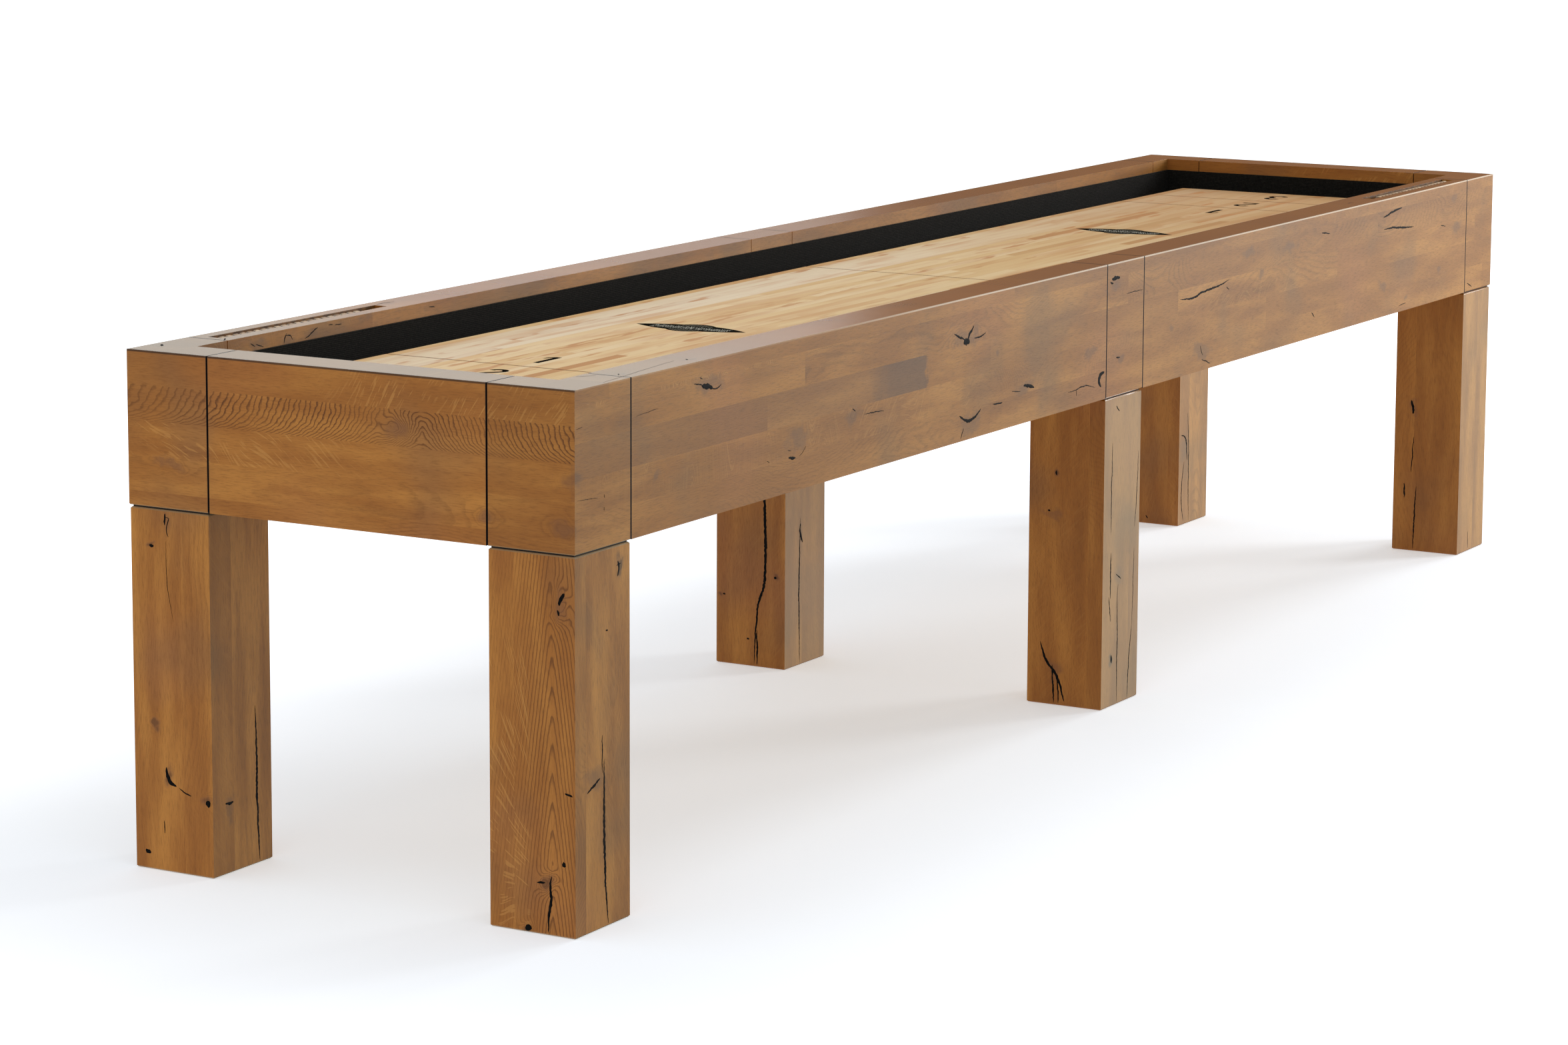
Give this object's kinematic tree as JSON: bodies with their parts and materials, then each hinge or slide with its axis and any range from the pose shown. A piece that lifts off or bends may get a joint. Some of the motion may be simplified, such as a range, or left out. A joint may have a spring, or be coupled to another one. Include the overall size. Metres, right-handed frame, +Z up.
{
  "type": "shuffleboard table",
  "caption": "Long table shuffleboard cabinet on square oak legs, with a laminated maple playfield in a carpeted well, levelers, climate adjusters and sliding-bead scorers.",
  "frame": {"origin": "on the floor, at the middle of the table", "axes": "+X along the table's length, +Y across it to the back, +Z up"},
  "size_m": [3.6576, 0.8128, 0.8128],
  "materials": {
    "oak_cabinet": "stained knotty oak, satin",
    "oak_leg": "stained knotty oak, satin",
    "spacer_black": "matte",
    "maple": "laminated maple under clear gloss",
    "line_wood": "inlaid strip under clear gloss",
    "inlay_black": "gloss",
    "carpet_black": "ribbed short-pile carpet",
    "plain_timber": "unfinished softwood and plywood",
    "bright_steel": "zinc plated",
    "insert_brass": "machined",
    "dowel_beech": "bare",
    "painted_steel": "satin black",
    "bead_wood": "turned hardwood, satin",
    "rubber_pad": "moulded"
  },
  "bodies": {
    "table": {"corner_block_fl": "oak_cabinet", "corner_block_fr": "oak_cabinet", "corner_block_bl": "oak_cabinet", "corner_block_br": "oak_cabinet", "side_rail_fl": "oak_cabinet", "side_rail_fr": "oak_cabinet", "side_rail_bl": "oak_cabinet", "side_rail_br": "oak_cabinet", "mid_block_front": "oak_cabinet", "mid_block_back": "oak_cabinet", "end_rail_left": "oak_cabinet", "end_rail_right": "oak_cabinet", "leg_fl": "oak_leg", "leg_fm": "oak_leg", "leg_fr": "oak_leg", "leg_bl": "oak_leg", "leg_bm": "oak_leg", "leg_br": "oak_leg", "leg_spacers": "spacer_black", "playfield": "maple", "score_lines": "line_wood", "numerals": "inlay_black", "lens_inlays": "inlay_black", "side_liners": "carpet_black", "end_liners": "carpet_black", "gutter_boards": "plain_timber", "gutter_carpet": "carpet_black", "gutter_cleats": "plain_timber", "leg_decks": "plain_timber", "cradle_stringers": "plain_timber", "cradle_ribs": "plain_timber", "leg_bolts": "bright_steel", "leg_inserts": "insert_brass", "rail_dowels": "dowel_beech", "frame_brackets": "painted_steel", "playfield_screws": "bright_steel", "adjuster_lugs": "painted_steel", "adjuster_screws": "bright_steel", "scorer_rods": "bright_steel", "leveler_nuts": "bright_steel"},
    "pad_fl": {"leveler_pad_fl": "rubber_pad"},
    "stem_fl": {"leveler_stem_fl": "bright_steel"},
    "pad_fm": {"leveler_pad_fm": "rubber_pad"},
    "stem_fm": {"leveler_stem_fm": "bright_steel"},
    "pad_fr": {"leveler_pad_fr": "rubber_pad"},
    "stem_fr": {"leveler_stem_fr": "bright_steel"},
    "pad_bl": {"leveler_pad_bl": "rubber_pad"},
    "stem_bl": {"leveler_stem_bl": "bright_steel"},
    "pad_bm": {"leveler_pad_bm": "rubber_pad"},
    "stem_bm": {"leveler_stem_bm": "bright_steel"},
    "pad_br": {"leveler_pad_br": "rubber_pad"},
    "stem_br": {"leveler_stem_br": "bright_steel"},
    "adjuster_1": {"adjuster_rod_1": "bright_steel"},
    "adjuster_2": {"adjuster_rod_2": "bright_steel"},
    "adjuster_3": {"adjuster_rod_3": "bright_steel"},
    "adjuster_4": {"adjuster_rod_4": "bright_steel"},
    "beads_back_lead": {"scorer_back_lead": "bead_wood"},
    "beads_back_row": {"scorer_back_row": "bead_wood"},
    "beads_front_lead": {"scorer_front_lead": "bead_wood"},
    "beads_front_row": {"scorer_front_row": "bead_wood"}
  },
  "joints": [
    {"name": "leveler_fl_height", "type": "slide", "parent": "table", "child": "pad_fl", "axis": [0, 0, -1], "range_m": [0, 0.018]},
    {"name": "leveler_fl_screw", "type": "hinge", "parent": "pad_fl", "child": "stem_fl", "pos_m": [-1.7526, -0.3302, 0.02], "axis": [0, 0, -1], "range_deg": [0, 3704]},
    {"name": "leveler_fm_height", "type": "slide", "parent": "table", "child": "pad_fm", "axis": [0, 0, -1], "range_m": [0, 0.018]},
    {"name": "leveler_fm_screw", "type": "hinge", "parent": "pad_fm", "child": "stem_fm", "pos_m": [0, -0.3302, 0.02], "axis": [0, 0, -1], "range_deg": [0, 3704]},
    {"name": "leveler_fr_height", "type": "slide", "parent": "table", "child": "pad_fr", "axis": [0, 0, -1], "range_m": [0, 0.018]},
    {"name": "leveler_fr_screw", "type": "hinge", "parent": "pad_fr", "child": "stem_fr", "pos_m": [1.7526, -0.3302, 0.02], "axis": [0, 0, -1], "range_deg": [0, 3704]},
    {"name": "leveler_bl_height", "type": "slide", "parent": "table", "child": "pad_bl", "axis": [0, 0, -1], "range_m": [0, 0.018]},
    {"name": "leveler_bl_screw", "type": "hinge", "parent": "pad_bl", "child": "stem_bl", "pos_m": [-1.7526, 0.3302, 0.02], "axis": [0, 0, -1], "range_deg": [0, 3704]},
    {"name": "leveler_bm_height", "type": "slide", "parent": "table", "child": "pad_bm", "axis": [0, 0, -1], "range_m": [0, 0.018]},
    {"name": "leveler_bm_screw", "type": "hinge", "parent": "pad_bm", "child": "stem_bm", "pos_m": [0, 0.3302, 0.02], "axis": [0, 0, -1], "range_deg": [0, 3704]},
    {"name": "leveler_br_height", "type": "slide", "parent": "table", "child": "pad_br", "axis": [0, 0, -1], "range_m": [0, 0.018]},
    {"name": "leveler_br_screw", "type": "hinge", "parent": "pad_br", "child": "stem_br", "pos_m": [1.7526, 0.3302, 0.02], "axis": [0, 0, -1], "range_deg": [0, 3704]},
    {"name": "adjuster_1_turn", "type": "hinge", "parent": "table", "child": "adjuster_1", "pos_m": [-1.24, 0, 0.6627], "axis": [0, 1, 0], "range_deg": [-360, 360]},
    {"name": "adjuster_2_turn", "type": "hinge", "parent": "table", "child": "adjuster_2", "pos_m": [-0.42, 0, 0.6627], "axis": [0, 1, 0], "range_deg": [-360, 360]},
    {"name": "adjuster_3_turn", "type": "hinge", "parent": "table", "child": "adjuster_3", "pos_m": [0.42, 0, 0.6627], "axis": [0, 1, 0], "range_deg": [-360, 360]},
    {"name": "adjuster_4_turn", "type": "hinge", "parent": "table", "child": "adjuster_4", "pos_m": [1.24, 0, 0.6627], "axis": [0, 1, 0], "range_deg": [-360, 360]},
    {"name": "scorer_back_lead_slide", "type": "slide", "parent": "table", "child": "beads_back_lead", "axis": [1, 0, 0], "range_m": [0, 0.058]},
    {"name": "scorer_back_row_slide", "type": "slide", "parent": "table", "child": "beads_back_row", "axis": [-1, 0, 0], "range_m": [0, 0.0115]},
    {"name": "scorer_front_lead_slide", "type": "slide", "parent": "table", "child": "beads_front_lead", "axis": [-1, 0, 0], "range_m": [0, 0.058]},
    {"name": "scorer_front_row_slide", "type": "slide", "parent": "table", "child": "beads_front_row", "axis": [1, 0, 0], "range_m": [0, 0.0115]}
  ],
  "couplings": [
    {"joint": "leveler_fl_screw", "follows": "leveler_fl_height", "rad_per_m": 3590.4},
    {"joint": "leveler_fm_screw", "follows": "leveler_fm_height", "rad_per_m": 3590.4},
    {"joint": "leveler_fr_screw", "follows": "leveler_fr_height", "rad_per_m": 3590.4},
    {"joint": "leveler_bl_screw", "follows": "leveler_bl_height", "rad_per_m": 3590.4},
    {"joint": "leveler_bm_screw", "follows": "leveler_bm_height", "rad_per_m": 3590.4},
    {"joint": "leveler_br_screw", "follows": "leveler_br_height", "rad_per_m": 3590.4}
  ]
}
